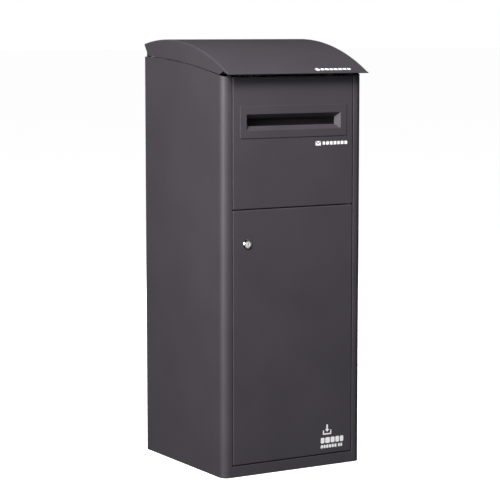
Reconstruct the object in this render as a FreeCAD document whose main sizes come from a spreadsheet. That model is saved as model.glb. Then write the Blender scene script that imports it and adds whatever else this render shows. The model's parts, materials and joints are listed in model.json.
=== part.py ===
"""Free-standing parcel-and-letter drop box.

A folded steel cabinet with a hinged hood lid for parcels, a letter slot in the upper front panel
and a locked door for emptying it.  Lifting the lid swings two quarter-circle side plates and a
drop plate into the shaft, so that a parcel is laid on the plate and falls when the lid closes.

The origin is the centre of the base on the ground: X to the right seen from the front, Y to the
back, Z up.  Sizes are in millimetres.
"""
import FreeCAD, Part
import os
import re
import Sketcher

SIZES = {
    # Cabinet
    "body_width": 385,
    "body_depth": 380,
    "overall_height": 1019.5,
    "sheet": 1.2,
    "corner_radius": 18,
    "rear_bend": 2,
    "fold_radius": 2.2,
    "edge_radius": 1,
    "stile_width": 25,
    "landing_width": 14,
    "frame_depth": 20,
    "rear_return": 20,
    "sill_height": 26,
    "sill_upstand": 14,
    "base_sheet": 2,
    "base_flange": 18,
    "panel_tall": 307.5,
    "door_gap": 2,
    # Curved top of the cabinet's sides
    "crown_rise": 41.5,
    "side_drop": 42,
    "side_apex_share": 0.6263,
    # Fixing holes
    "floor_spacing_x": 260,
    "floor_spacing_y": 250,
    "floor_hole_radius": 5,
    "wall_spacing_x": 240,
    "wall_spacing_z": 400,
    "wall_hole_low": 190,
    "wall_hole_radius": 4.25,
    # Letter slot
    "slot_half": 129.6,
    "slot_tall": 38,
    "slot_below_top": 106,
    "funnel_inset": 10,
    "funnel_depth": 13.5,
    "plate_half": 146.5,
    "plate_tall": 74.4,
    "plate_sheet": 1.5,
    "plate_corner": 2.5,
    "plate_edge": 0.6,
    "plate_drop": 0.7,
    "stud_radius": 2,
    "stud_length": 12,
    "stud_inset": 9,
    "nut_circumradius": 4.04,
    "nut_height": 3.2,
    # Letter chute and rails
    "chute_depth": 47,
    "chute_half": 151,
    "rail_leg": 28,
    "rivet_radius": 2,
    "rivet_head": 4,
    "rivet_head_height": 1.2,
    "rivet_tail": 3.2,
    "rivet_tail_length": 2,
    # Lid
    "lid_seam": 2,
    "seat_gap": 0.3,
    "visor_lift": 7,
    "lid_apex_share": 0.2053,
    "lid_edge_radius": 3.2,
    "visor_reach": 25,
    "hem_radius": 1.6,
    "hem_proud": 0.2,
    "visor_side": 6.6,
    "visor_side_back": 2,
    "cheek_nose": 17.5,
    "rear_overhang": 2.7,
    "rear_tuck": 10.4,
    "rear_drop": 29.3,
    "hinge_setback": 20,
    "hinge_drop": 29.5,
    "channel_front": 4,
    "channel_width": 28,
    "channel_clear": 7,
    "channel_half": 184,
    # Side plates and drop plate under the lid
    "sector_inset": 4,
    "sector_sheet": 1.5,
    "sector_clear": 10,
    "sector_flange": 12,
    "rear_clear": 3,
    "lip_length": 25,
    "side_flange": 15,
    "lid_open_angle": 60,
    "stop_angle": 12,
    "stop_margin": 1,
    "stop_radius": 4,
    "sleeve_radius": 6,
    "slot_clear": 0.5,
    "stop_inset": 37,
    # Lid hinge
    "bracket_pad": 3,
    "bracket_tongue": 2,
    "bracket_half": 12,
    "pin_radius": 4,
    "pin_groove": 3.2,
    "bush_wall": 1.45,
    "bush_flange": 0.7,
    "bush_flange_radius": 7.2,
    "clip_radius": 6.5,
    "clip_thick": 1,
    "running_clear": 0.05,
    # Rubber buffers
    "buffer_radius": 8,
    "buffer_stem": 3,
    "buffer_bulb": 4.5,
    "buffer_spread": 110,
    "rest_clear": 0.3,
    "door_buffer_radius": 5,
    "door_buffer_stem": 2,
    # Door
    "door_depth": 14,
    "pivot_inset": 6,
    "pivot_radius": 2.5,
    "pivot_head": 3.8,
    "pivot_bush_radius": 3.5,
    "pivot_bush_flange": 5.5,
    "pivot_reach": 9,
    "hat_width": 40,
    "hat_foot": 12,
    "hat_depth": 11.5,
    "hat_spread": 60,
    # Cam lock
    "lock_below_split": 80.5,
    "lock_inset": 39,
    "bezel_radius": 11.5,
    "bezel_face_radius": 9.4,
    "bezel_height": 3.4,
    "bezel_edge": 0.5,
    "barrel_radius": 9.5,
    "post_length": 1.9,
    "plug_radius": 6.5,
    "plug_clear": 0.08,
    "plug_recess": 0.3,
    "key_width": 1.6,
    "key_height": 8,
    "key_depth": 12,
    "lock_nut_radius": 13.86,
    "lock_nut_height": 3.5,
    "lock_plate_half": 24.5,
    "cam_gap": 1.2,
    "cam_thick": 2,
    "cam_half": 7,
    "cam_length": 38,
    "screw_radius": 2,
    "screw_head": 4,
}

# Places worked out from the sizes, each written once and used by every piece that meets there.
DERIVED = {
    "half_width": "body_width / 2",
    "wall_in": "half_width - sheet",
    "front": "-body_depth / 2",
    "front_in": "front + sheet",
    "back": "body_depth / 2",
    "back_in": "back - 2 * sheet",
    "opening_half": "half_width - stile_width",
    "landing_front": "front + frame_depth",
    "landing_back": "landing_front + sheet",
    "rail_back": "landing_back + sheet",
    "landing_edge": "opening_half - landing_width",
    "side_apex": "overall_height - crown_rise",
    "front_top": "side_apex - side_drop",
    "split_height": "front_top - panel_tall",
    "side_centre": "body_depth * side_apex_share",
    "side_radius": "((side_centre + back) ^ 2 + side_drop ^ 2) / (2 * side_drop)",
    "door_half": "opening_half - door_gap",
    "door_low": "sill_height + door_gap",
    "door_high": "split_height - door_gap / 2",
    "door_back": "front + door_depth",
    "panel_low": "split_height + door_gap / 2",
    "panel_high": "front_top - 1",
    "rail_half": "door_half - fold_radius",
    "rail_front": "front + fold_radius",
    "slot_mid": "front_top - slot_below_top",
    "slot_low": "slot_mid - slot_tall / 2",
    "slot_high": "slot_mid + slot_tall / 2",
    "plate_front": "front - plate_sheet",
    "plate_low": "slot_mid + plate_drop - plate_tall / 2",
    "plate_high": "slot_mid + plate_drop + plate_tall / 2",
    "chute_low": "split_height + 11.5",
    "chute_lip_high": "front_top - 36",
    "chute_high": "front_top - 6",
    "chute_front": "front + chute_depth",
    "chute_back": "chute_front + sheet",
    "rivet_x": "door_half - 6",
    "lid_centre": "body_depth * lid_apex_share",
    "lid_drop": "crown_rise + side_drop - visor_lift",
    "lid_reach": "lid_centre + back + visor_reach",
    "lid_radius": "(lid_reach ^ 2 + lid_drop ^ 2) / (2 * lid_drop)",
    "lid_inner": "lid_radius - sheet",
    "lid_seat": "lid_inner - seat_gap",
    "lid_axis": "overall_height - lid_radius",
    "visor_front": "front - visor_reach",
    "visor_side_y": "front - visor_side_back",
    "visor_side_z": "lid_axis + sqrt(lid_radius ^ 2 - (visor_side_y - lid_centre) ^ 2) - visor_side",
    "hem_y": "visor_front + hem_radius",
    "hem_z": "lid_axis + sqrt((lid_radius + hem_proud - hem_radius) ^ 2 - (hem_y - lid_centre) ^ 2)",
    "rear_top_y": "back + rear_overhang",
    "rear_top_z": "lid_axis + sqrt(lid_radius ^ 2 - (rear_top_y - lid_centre) ^ 2)",
    "rear_low_y": "back - rear_tuck",
    "rear_low_z": "overall_height - rear_drop",
    "hinge_y": "back - hinge_setback",
    "hinge_z": "overall_height - hinge_drop",
    "channel_low": "front_top + channel_clear",
    "channel_y": "front + channel_front",
    "sector_out": "wall_in - sector_inset",
    "sector_in": "sector_out - sector_sheet",
    "sector_back": "back_in - rear_clear",
    "sector_radius": "hinge_y - chute_front - sector_clear",
    "drop_low": "hinge_z - sector_radius + 4",
    "drop_high": "hinge_z - 12",
    "stop_reach": "sector_radius - stop_inset",
    "stop_y": "hinge_y - stop_reach * cos(stop_angle)",
    "stop_z": "hinge_z - stop_reach * sin(stop_angle)",
    "stop_half": "sleeve_radius + slot_clear",
    "bracket_in": "wall_in - bracket_pad",
    "bush_radius": "pin_radius + running_clear + bush_wall",
    "bush_end": "sector_in - 2",
    "clip_out": "bush_end - 0.5",
    "clip_in": "clip_out - clip_thick",
    "buffer_y": "channel_y + 8",
    "pivot_x": "door_half - pivot_inset",
    "pivot_y": "front + pivot_inset",
    "pivot_flange": "door_gap - rest_clear",
    "lock_x": "lock_inset - door_half",
    "lock_z": "split_height - lock_below_split",
    "lock_face": "front - bezel_height",
    "cam_front": "landing_back + cam_gap",
    "cam_back": "cam_front + cam_thick",
    "barrel_back": "cam_front - post_length",
    "lock_plate_back": "front_in + base_sheet",
}

WORD = re.compile(r"[a-z][a-z_]*")
TURNS = {
    "x": FreeCAD.Rotation(FreeCAD.Vector(0, 1, 0), 90),
    "y": FreeCAD.Rotation(FreeCAD.Vector(1, 0, 0), -90),
    "z": FreeCAD.Rotation(),
}
PLANES = {"x": "YZ_Plane", "z": "XY_Plane"}

os.makedirs("parts", exist_ok=True)
doc = FreeCAD.newDocument("ParcelDropBox")
sheet = doc.addObject("Spreadsheet::Sheet", "Sizes")
for row, (alias, number) in enumerate(SIZES.items(), 1):
    sheet.set("A%d" % row, alias.replace("_", " "))
    sheet.set("B%d" % row, str(number))
    sheet.setAlias("B%d" % row, alias)
doc.recompute()


# ---------------------------------------------------------------- binding to the sheet
def formula(text):
    """The expression for a size or place written in the words of the two tables above."""
    def spelled(match):
        word = match.group(0)
        if word in SIZES:
            return "Sizes." + word
        if word in DERIVED:
            return "(" + formula(DERIVED[word]) + ")"
        return word
    text = re.sub(r"(cos|sin)\(([a-z_ +\-]+)\)", r"\1((\2) * 1 deg)", text)
    return WORD.sub(spelled, text)


def value(text):
    """The number that an expression gives now."""
    return float(sheet.evalExpression(formula(text)))


# ---------------------------------------------------------------- shapes
def box(name, x_span, y_span, z_span):
    """A block between two places along each axis."""
    item = doc.addObject("Part::Box", name)
    spans = (("Length", "x", x_span), ("Width", "y", y_span), ("Height", "z", z_span))
    for side, axis, (low, high) in spans:
        item.setExpression(side, formula("(%s) - (%s)" % (high, low)))
        item.setExpression("Placement.Base." + axis, formula(low))
    return item


def turned(item, axis, start):
    """Lays an item's own Z along an axis, from a starting point."""
    item.Placement = FreeCAD.Placement(FreeCAD.Vector(), TURNS[axis])
    for letter, place in zip("xyz", start):
        item.setExpression("Placement.Base." + letter, formula(place))
    return item


def rod(name, axis, radius, start, length):
    """A cylinder along an axis."""
    item = doc.addObject("Part::Cylinder", name)
    item.setExpression("Radius", formula(radius))
    item.setExpression("Height", formula(length))
    return turned(item, axis, start)


def taper(name, axis, start_radius, end_radius, start, length):
    """A cone with its point cut off, along an axis."""
    item = doc.addObject("Part::Cone", name)
    item.setExpression("Radius1", formula(start_radius))
    item.setExpression("Radius2", formula(end_radius))
    item.setExpression("Height", formula(length))
    return turned(item, axis, start)


def hexagon(name, axis, radius, start, length):
    """A six-sided bar along an axis."""
    item = doc.addObject("Part::Prism", name)
    item.Polygon = 6
    item.setExpression("Circumradius", formula(radius))
    item.setExpression("Height", formula(length))
    return turned(item, axis, start)


def funnel(name, grow):
    """The slot's tapering throat, from the plate's front face inwards, grown all round."""
    item = doc.addObject("Part::Wedge", name)
    places = {
        "Ymin": "plate_front",
        "Ymax": "plate_front + funnel_depth",
        "Xmin": "-slot_half - (%s)" % grow,
        "Xmax": "slot_half + (%s)" % grow,
        "X2min": "funnel_inset - slot_half - (%s)" % grow,
        "X2max": "slot_half - funnel_inset + (%s)" % grow,
        "Zmin": "slot_low - (%s)" % grow,
        "Zmax": "slot_high + (%s)" % grow,
        "Z2min": "slot_low + funnel_inset - (%s)" % grow,
        "Z2max": "slot_high - funnel_inset + (%s)" % grow,
    }
    for key, place in places.items():
        item.setExpression(key, formula(place))
    return item


def prism(name, axis, corners, low, high):
    """A straight-sided outline, drawn on one of the body's own planes and padded along its axis."""
    body = doc.addObject("PartDesign::Body", name)
    plane = next(item for item in body.Origin.OriginFeatures if item.Role == PLANES[axis])
    sketch = body.newObject("Sketcher::SketchObject", name + "Outline")
    sketch.AttachmentSupport = [(plane, "")]
    sketch.MapMode = "FlatFace"
    sketch.setExpression("AttachmentOffset.Base.z", formula(low))
    points = [FreeCAD.Vector(value(across), value(up), 0) for across, up in corners]
    for start, end in zip(points, points[1:] + points[:1]):
        sketch.addGeometry(Part.LineSegment(start, end), False)
    for index in range(len(points)):
        following = (index + 1) % len(points)
        sketch.addConstraint(Sketcher.Constraint("Coincident", index, 2, following, 1))
    for index, (corner, point) in enumerate(zip(corners, points)):
        for kind, place, number in zip(("DistanceX", "DistanceY"), corner, point):
            held = sketch.addConstraint(Sketcher.Constraint(kind, -1, 1, index, 1, number))
            sketch.setExpression("Constraints[%d]" % held, formula(place))
    pad = body.newObject("PartDesign::Pad", name + "Pad")
    pad.Profile = sketch
    pad.setExpression("Length", formula("(%s) - (%s)" % (high, low)))
    return body


def fuse(name, *items):
    """One solid from several that touch."""
    joined = doc.addObject("Part::MultiFuse", name)
    joined.Shapes = list(items)
    joined.Refine = True
    return joined


def cut(name, base, *tools):
    """A solid with one or more tools taken out of it; it must lose volume."""
    result = doc.addObject("Part::Cut", name)
    result.Base = base
    result.Tool = tools[0] if len(tools) == 1 else fuse(name + "Tools", *tools)
    result.Refine = True
    doc.recompute()
    if result.Shape.Volume >= base.Shape.Volume - 1e-6:
        raise RuntimeError(name + ": nothing was cut")
    return result


def common(name, *items):
    """What several solids share."""
    shared = doc.addObject("Part::MultiCommon", name)
    shared.Shapes = list(items)
    return shared


def mirrored(name, item):
    """The same piece on the other side of the cabinet."""
    copy = doc.addObject("Part::Mirroring", name)
    copy.Source = item
    copy.Normal = FreeCAD.Vector(1, 0, 0)
    return copy


def grouped(name, items):
    """Several like pieces kept as one sub-part."""
    group = doc.addObject("Part::Compound", name)
    group.Links = items
    return group


def rounded(name, source, *rounds):
    """A solid with edges rounded; each round is a radius and a test that picks its edges."""
    placed = doc.addObject("Part::Refine", name + "Placed")
    placed.Source = source
    body = doc.addObject("PartDesign::Body", name)
    body.BaseFeature = placed
    doc.recompute()
    for number, (radius, wanted) in enumerate(rounds):
        base = body.Tip
        picked = [
            "Edge%d" % index
            for index, edge in enumerate(base.Shape.Edges, 1)
            if wanted(edge)
        ]
        if not picked:
            raise RuntimeError(name + ": no edge to round")
        fillet = body.newObject("PartDesign::Fillet", "%sRound%d" % (name, number))
        fillet.Base = (base, picked)
        fillet.setExpression("Radius", formula(radius))
        doc.recompute()
    return body


# ---------------------------------------------------------------- picking edges
def near(first, second):
    return abs(first - second) < 0.01


def upright(edge):
    return near(edge.BoundBox.XLength, 0) and near(edge.BoundBox.YLength, 0)


def crosswise(edge):
    return near(edge.BoundBox.YLength, 0) and near(edge.BoundBox.ZLength, 0)


def fore_and_aft(edge):
    return near(edge.BoundBox.XLength, 0) and near(edge.BoundBox.ZLength, 0)


def upright_at(place):
    depth = value(place)
    return lambda edge: upright(edge) and near(edge.BoundBox.YMin, depth)


def ahead_of(place):
    depth = value(place)
    return lambda edge: edge.BoundBox.YMin < depth - 0.01


# ---------------------------------------------------------------- repeated forms
def both_sides(name, x_span, y_span, z_span):
    """The same block at the left and at the right."""
    low, high = x_span
    right = box(name + "Right", (low, high), y_span, z_span)
    left = box(name + "Left", ("-(%s)" % high, "-(%s)" % low), y_span, z_span)
    return [right, left]


def tray(name, half, z_span, depth):
    """Outside and inside of a pressed front: a face with four sides folded back."""
    low, high = z_span
    outside = box(name + "Block", ("-(%s)" % half, half), ("front", "front + " + depth), z_span)
    inside = box(
        name + "Hollow",
        ("sheet - (%s)" % half, "(%s) - sheet" % half),
        ("front_in", "front + %s + 1" % depth),
        ("(%s) + sheet" % low, "(%s) - sheet" % high),
    )
    rear = "front + " + depth
    return (
        rounded(name + "Outside", outside, ("fold_radius", ahead_of(rear))),
        rounded(name + "Inside", inside, ("fold_radius - sheet", ahead_of(rear + " + 1"))),
    )


def side_top_disc(name, grow):
    """The large disc whose rim is the curved top edge of the cabinet's sides."""
    radius = "side_radius + (%s)" % grow
    start = ("-half_width - 5", "side_centre", "side_apex - side_radius")
    return rod(name, "x", radius, start, "body_width + 10")


def lid_disc(name, radius):
    """A disc about the axis of the lid's arched top."""
    start = ("-half_width", "lid_centre", "lid_axis")
    return rod(name, "x", radius, start, "body_width")


def rivet_places():
    """Where the frame's rivets go: side, height, and the face that each head sits on."""
    lip_face = "landing_front - sheet"
    heights = (
        ("chute_low + 15", lip_face),
        ("chute_low + 95", lip_face),
        ("chute_low + 175", lip_face),
        ("chute_lip_high - 12", lip_face),
        ("panel_high - 17", lip_face),
        ("panel_low - 15", "landing_front"),
    )
    return [("%srivet_x" % sign, height, face) for sign in ("", "-") for height, face in heights]


def rivet_holes(name, wanted=lambda height: True):
    """Holes through the frame, the front panel's lips and whatever is riveted behind them."""
    return [
        rod("%s%d" % (name, index), "y", "rivet_radius", (x, "landing_front - 3", z), "9")
        for index, (x, z, face) in enumerate(rivet_places())
        if wanted(value(z))
    ]


PARTS = []


def finished(label, item):
    """Names a finished sub-part and keeps it for the export."""
    item.Label = label
    PARTS.append(item)
    return item


# ---------------------------------------------------------------- cabinet
def body_wrap():
    """Sides, rounded front corners, stiles, sill and rear returns, folded from one sheet."""
    height = ("0", "side_apex + 1")
    outside = rounded(
        "WrapOutside",
        box("WrapBlock", ("-half_width", "half_width"), ("front", "back"), height),
        ("corner_radius", upright_at("front")),
        ("rear_bend", upright_at("back")),
    )
    hollow = box(
        "WrapHollow", ("-wall_in", "wall_in"), ("front_in", "back - sheet"), ("-1", "side_apex + 2")
    )
    inside = rounded(
        "WrapInside",
        hollow,
        ("corner_radius - sheet", upright_at("front_in")),
    )
    rear_half = "half_width - rear_return"
    rear_window = box(
        "RearWindow", ("-(%s)" % rear_half, rear_half), ("back - sheet - 1", "back + 1"),
        ("-1", "side_apex + 2"),
    )
    front_window = box(
        "FrontWindow", ("-opening_half", "opening_half"), ("front - 1", "front_in + 1"),
        ("sill_height", "side_apex + 2"),
    )
    tube = cut("WrapTube", outside, inside, rear_window, front_window)
    frame_height = ("sill_height - sheet", "side_apex + 1")
    folds = both_sides(
        "StileReturn", ("opening_half", "opening_half + sheet"), ("front", "landing_back"), frame_height
    )
    folds += both_sides(
        "Landing", ("landing_edge", "opening_half + sheet"), ("landing_front", "landing_back"), frame_height
    )
    across = ("-opening_half", "opening_half")
    folds.append(
        box("SillShelf", across, ("front", "landing_back"), ("sill_height - sheet", "sill_height"))
    )
    folds.append(
        box("SillUpstand", across, ("landing_front", "landing_back"),
            ("sill_height", "sill_height + sill_upstand"))
    )
    folded = fuse("WrapFolded", tube, *folds)
    holes = rivet_holes("WrapRivetHole")
    holes.append(
        rod("SillPivotHole", "z", "pivot_bush_radius", ("pivot_x", "pivot_y", "sill_height - 5"), "10")
    )
    for index, z in enumerate(DOOR_BUFFER_HEIGHTS):
        start = ("-rivet_x", "landing_front - 2", z)
        holes.append(rod("WrapBufferHole%d" % index, "y", "door_buffer_stem", start, "6"))
    drilled = cut("WrapDrilled", folded, *holes)
    trimmed = common("WrapTrimmed", drilled, side_top_disc("WrapTopDisc", "0"))
    doc.recompute()

    def opening_edge(edge):
        at_front = near(edge.BoundBox.YMin, value("front")) and near(edge.BoundBox.YLength, 0)
        side = upright(edge) and near(abs(edge.BoundBox.XMin), value("opening_half"))
        sill = crosswise(edge) and near(edge.BoundBox.ZMin, value("sill_height"))
        return at_front and (side or sill)

    finished("body_wrap", rounded("BodyWrap", trimmed, ("edge_radius", opening_edge)))


def back_panel():
    """Back sheet inside the rear returns, with edges folded forward and four wall-fixing holes."""
    sheet_box = box(
        "BackSheet", ("-wall_in", "wall_in"), ("back_in", "back - sheet"), ("0", "side_apex - 2")
    )
    edges = both_sides(
        "BackFold", ("wall_in - sheet", "wall_in"), ("back_in - side_flange", "back_in"),
        ("base_flange + 12", "hinge_z - 75"),
    )
    holes = [
        rod("WallHole%d%d" % (side, level), "y", "wall_hole_radius", (x, "back_in - 2", z), "8")
        for side, x in enumerate(("-wall_spacing_x / 2", "wall_spacing_x / 2"))
        for level, z in enumerate(("wall_hole_low", "wall_hole_low + wall_spacing_z"))
    ]
    finished("back_panel", cut("BackPanel", fuse("BackFolded", sheet_box, *edges), *holes))


def base_plate():
    """Floor pan with its edges folded up and four floor-anchor holes."""
    outside = rounded(
        "BaseOutside",
        box("BaseBlock", ("-wall_in", "wall_in"), ("front_in", "back_in"), ("0", "base_flange")),
        ("corner_radius - sheet", upright_at("front_in")),
    )
    hollow = box(
        "BaseHollow", ("base_sheet - wall_in", "wall_in - base_sheet"),
        ("front_in + base_sheet", "back_in - base_sheet"), ("base_sheet", "base_flange + 1"),
    )
    inside = rounded(
        "BaseInside", hollow, ("corner_radius - sheet - base_sheet", upright_at("front_in + base_sheet"))
    )
    holes = [
        rod("FloorHole%d%d" % (side, row), "z", "floor_hole_radius", (x, y, "-2"), "8")
        for side, x in enumerate(("-floor_spacing_x / 2", "floor_spacing_x / 2"))
        for row, y in enumerate(("-floor_spacing_y / 2", "floor_spacing_y / 2"))
    ]
    finished("base_plate", cut("BasePlate", outside, inside, *holes))


def upper_front_panel():
    """Fixed front above the door, with the letter cut-out and lips riveted to the frame."""
    outside, inside = tray("Panel", "door_half", ("panel_low", "panel_high"), "frame_depth")
    shell = cut("PanelShell", outside, inside)
    lips = both_sides(
        "PanelLip", ("landing_edge", "door_half - sheet / 2"), ("landing_front - sheet", "landing_front"),
        ("panel_low + sheet / 2", "panel_high - sheet / 2"),
    )
    cut_out = box(
        "LetterCutOut", ("-slot_half - 1", "slot_half + 1"), ("front - 1", "front_in + 1"),
        ("slot_low - 1", "slot_high + 1"),
    )
    low_rivet = value("panel_low")
    holes = rivet_holes("PanelRivetHole", lambda height: height > low_rivet)
    holes += [
        rod("PanelStudHole%d" % index, "y", "stud_radius", (x, "front - 1", z), "4")
        for index, (x, z) in enumerate(stud_places())
    ]
    pivot = ("pivot_x", "pivot_y", "panel_low - 2")
    holes.append(rod("PanelPivotHole", "z", "pivot_bush_radius", pivot, "5"))
    holes += buffer_holes("PanelBufferHole")
    lipped = fuse("PanelLipped", shell, *lips)
    finished("upper_front_panel", cut("UpperFrontPanel", lipped, cut_out, *holes))


def stud_places():
    """The letter plate's four weld studs."""
    return [
        (x, z)
        for x in ("stud_inset - plate_half", "plate_half - stud_inset")
        for z in ("plate_low + stud_inset", "plate_high - stud_inset")
    ]


def letter_plate():
    """Pressed slot surround with a funnel mouth, held from behind by four weld studs."""
    blank = box(
        "PlateBlank", ("-plate_half", "plate_half"), ("plate_front", "front"), ("plate_low", "plate_high")
    )
    face = rounded(
        "PlateFace", blank,
        ("plate_corner", fore_and_aft),
        ("plate_edge", lambda edge: near(edge.BoundBox.YMax, value("plate_front"))),
    )
    studs = [
        rod("PlateStud%d" % index, "y", "stud_radius", (x, "plate_front + sheet", z), "stud_length")
        for index, (x, z) in enumerate(stud_places())
    ]
    whole = fuse("PlateWhole", face, funnel("ThroatOutside", "sheet"), *studs)
    finished("letter_plate", cut("LetterPlate", whole, funnel("ThroatInside", "0")))


def letter_plate_nuts():
    """Nuts on the letter plate's studs, behind the front panel."""
    nuts = []
    for index, (x, z) in enumerate(stud_places()):
        bar = hexagon("NutBar%d" % index, "y", "nut_circumradius", (x, "front_in", z), "nut_height")
        bore = rod("NutBore%d" % index, "y", "stud_radius", (x, "front_in - 1", z), "nut_height + 2")
        nuts.append(cut("Nut%d" % index, bar, bore))
    finished("letter_plate_nuts", grouped("LetterPlateNuts", nuts))


def letter_chute():
    """Channel behind the slot that turns letters down and keeps hands away from them."""
    height = ("chute_low", "chute_high")
    pieces = [box("ChuteWeb", ("-chute_half", "chute_half"), ("chute_front", "chute_back"), height)]
    pieces += both_sides(
        "ChuteSide", ("chute_half - sheet", "chute_half"), ("rail_back", "chute_back"), height
    )
    pieces += both_sides(
        "ChuteLip", ("chute_half - sheet", "door_half"), ("landing_back", "rail_back"),
        ("chute_low", "chute_lip_high"),
    )
    pieces.append(
        box("ChuteTop", ("-chute_half", "chute_half"), ("rail_back", "chute_back"),
            ("chute_high - sheet", "chute_high"))
    )
    low = value("chute_low")
    high = value("chute_lip_high")
    holes = rivet_holes("ChuteRivetHole", lambda height: low < height < high)
    finished("letter_chute", cut("LetterChute", fuse("ChuteFolded", *pieces), *holes))


def rail(name, flange_low, leg_low, leg_high):
    """An angle across the front: a level leg inside the panel's fold, a riveted leg behind it."""
    level = (flange_low, "(%s) + sheet" % flange_low)
    step = "landing_front - sheet"
    return fuse(
        name,
        box(name + "Shelf", ("-rail_half", "rail_half"), ("rail_front", step), level),
        box(name + "Neck", ("-landing_edge", "landing_edge"), (step, "rail_back"), level),
        box(name + "Leg", ("-door_half", "door_half"), ("landing_back", "rail_back"), (leg_low, leg_high)),
    )


def mid_rail():
    """Rail at the split: carries the door's top pivot and the door's top landing."""
    folded = rail("MidRailFolded", "panel_low + sheet", "panel_low - rail_leg", "panel_low + 2 * sheet")
    low_rivet = value("panel_low")
    holes = rivet_holes("MidRailHole", lambda height: height < low_rivet)
    pivot = ("pivot_x", "pivot_y", "panel_low")
    holes.append(rod("MidRailPivotHole", "z", "pivot_bush_radius", pivot, "5"))
    finished("mid_rail", cut("MidRail", folded, *holes))


def top_rail():
    """Rail under the lid's front edge: carries the two lid buffers."""
    under = "panel_high - sheet"
    folded = rail("TopRailFolded", "panel_high - 2 * sheet", under + " - rail_leg", under)
    high = value("chute_lip_high")
    holes = rivet_holes("TopRailHole", lambda height: height > high)
    finished("top_rail", cut("TopRail", folded, *(holes + buffer_holes("TopRailBufferHole"))))


def buffer_holes(name):
    return [
        rod("%s%d" % (name, index), "z", "buffer_stem", (x, "buffer_y", "panel_high - 5"), "8")
        for index, x in enumerate(("-buffer_spread", "buffer_spread"))
    ]


def lid_buffers():
    """Rubber buffers that the closed lid rests on, pulled through the panel's top fold."""
    buffers = []
    for index, x in enumerate(("-buffer_spread", "buffer_spread")):
        head_height = "channel_low - rest_clear - panel_high"
        head = rod("BufferHead%d" % index, "z", "buffer_radius", (x, "buffer_y", "panel_high"), head_height)
        under = (x, "buffer_y", "panel_high - 2 * sheet")
        stem = rod("BufferStem%d" % index, "z", "buffer_stem", under, "2 * sheet")
        bulb = rod(
            "BufferBulb%d" % index, "z", "buffer_bulb", (x, "buffer_y", "panel_high - 2 * sheet - 4"), "4"
        )
        buffers.append(fuse("LidBuffer%d" % index, head, stem, bulb))
    finished("lid_buffers", grouped("LidBuffers", buffers))


DOOR_BUFFER_HEIGHTS = ("sill_height + 54", "(sill_height + split_height) / 2", "split_height - 40")


def door_buffers():
    """Rubber buffers on the left landing that the closed door rests on."""
    buffers = []
    for index, z in enumerate(DOOR_BUFFER_HEIGHTS):
        face = "door_back + rest_clear"
        reach = "landing_front - (%s)" % face
        head = rod("DoorBufferHead%d" % index, "y", "door_buffer_radius", ("-rivet_x", face, z), reach)
        seat = ("-rivet_x", "landing_front", z)
        behind = ("-rivet_x", "landing_back", z)
        stem = rod("DoorBufferStem%d" % index, "y", "door_buffer_stem", seat, "sheet")
        bulb = rod("DoorBufferBulb%d" % index, "y", "door_buffer_stem + 1", behind, "3")
        buffers.append(fuse("DoorBuffer%d" % index, head, stem, bulb))
    finished("door_buffers", grouped("DoorBuffers", buffers))


def frame_rivets():
    """Blind rivets that hold the front panel, the rails and the chute to the frame's landings."""
    rivets = []
    for index, (x, z, face) in enumerate(rivet_places()):
        head = rod(
            "RivetHead%d" % index, "y", "rivet_head", (x, "(%s) - rivet_head_height" % face, z),
            "rivet_head_height",
        )
        shank = rod("RivetShank%d" % index, "y", "rivet_radius", (x, face, z), "rail_back - (%s)" % face)
        tail = rod("RivetTail%d" % index, "y", "rivet_tail", (x, "rail_back", z), "rivet_tail_length")
        whole = fuse("RivetWhole%d" % index, head, shank, tail)
        doc.recompute()
        head_face = value("(%s) - rivet_head_height" % face)
        rim = ("rivet_head_height / 2", lambda edge, at=head_face: near(edge.BoundBox.YMax, at))
        rivets.append(rounded("Rivet%d" % index, whole, rim))
    finished("frame_rivets", grouped("FrameRivets", rivets))


# ---------------------------------------------------------------- lid hinge on the cabinet
def hinge_brackets():
    """Thick doublers welded inside the walls, with tongues that rise into the lid."""
    tongue_out = "bracket_in + bracket_tongue"
    level = "hinge_z - 16"
    around = ("hinge_y - bracket_half", "hinge_y + bracket_half")
    pad = box("BracketPad", ("bracket_in", "wall_in"), ("hinge_y - 22", "hinge_y + bracket_half"),
              ("hinge_z - 65", level))
    tongue = box("BracketTongue", ("bracket_in", tongue_out), around, (level, "hinge_z"))
    eye = rod("BracketEye", "x", "bracket_half", ("bracket_in", "hinge_y", "hinge_z"), "bracket_tongue")
    hole = rod("BracketHole", "x", "pin_radius", ("bracket_in - 1", "hinge_y", "hinge_z"), "bracket_pad")
    right = cut("HingeBracketRight", fuse("BracketBlank", pad, tongue, eye), hole)
    finished("hinge_bracket_right", right)
    finished("hinge_bracket_left", mirrored("HingeBracketLeft", right))


def ring(name, axis, outer, inner, start, length):
    """A plain ring."""
    drill_start = list(start)
    place = "xyz".index(axis)
    drill_start[place] = "(%s) - 1" % start[place]
    disc = rod(name + "Disc", axis, outer, start, length)
    drill = rod(name + "Drill", axis, inner, drill_start, "(%s) + 2" % length)
    return cut(name, disc, drill)


def mirrored_pair(label, name, right):
    """A piece and its mirror image, kept as one sub-part."""
    finished(label, grouped(name, [right, mirrored(name + "Other", right)]))


def lid_pins():
    """Pins pressed into the brackets; the lid's bushes turn on them."""
    end = "clip_in - 1.5"
    length = "bracket_in + bracket_tongue - (%s)" % end
    place = ("clip_in", "hinge_y", "hinge_z")
    shank = rod("PinShank", "x", "pin_radius", (end, "hinge_y", "hinge_z"), length)
    groove = ring("PinGroove", "x", "pin_radius + 2", "pin_groove", place, "clip_thick")
    mirrored_pair("lid_pins", "LidPins", cut("LidPin", shank, groove))


def lid_pin_clips():
    """Retaining rings in the pins' grooves."""
    place = ("clip_in", "hinge_y", "hinge_z")
    clip = ring("LidPinClip", "x", "clip_radius", "pin_groove", place, "clip_thick")
    mirrored_pair("lid_pin_clips", "LidPinClips", clip)


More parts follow.
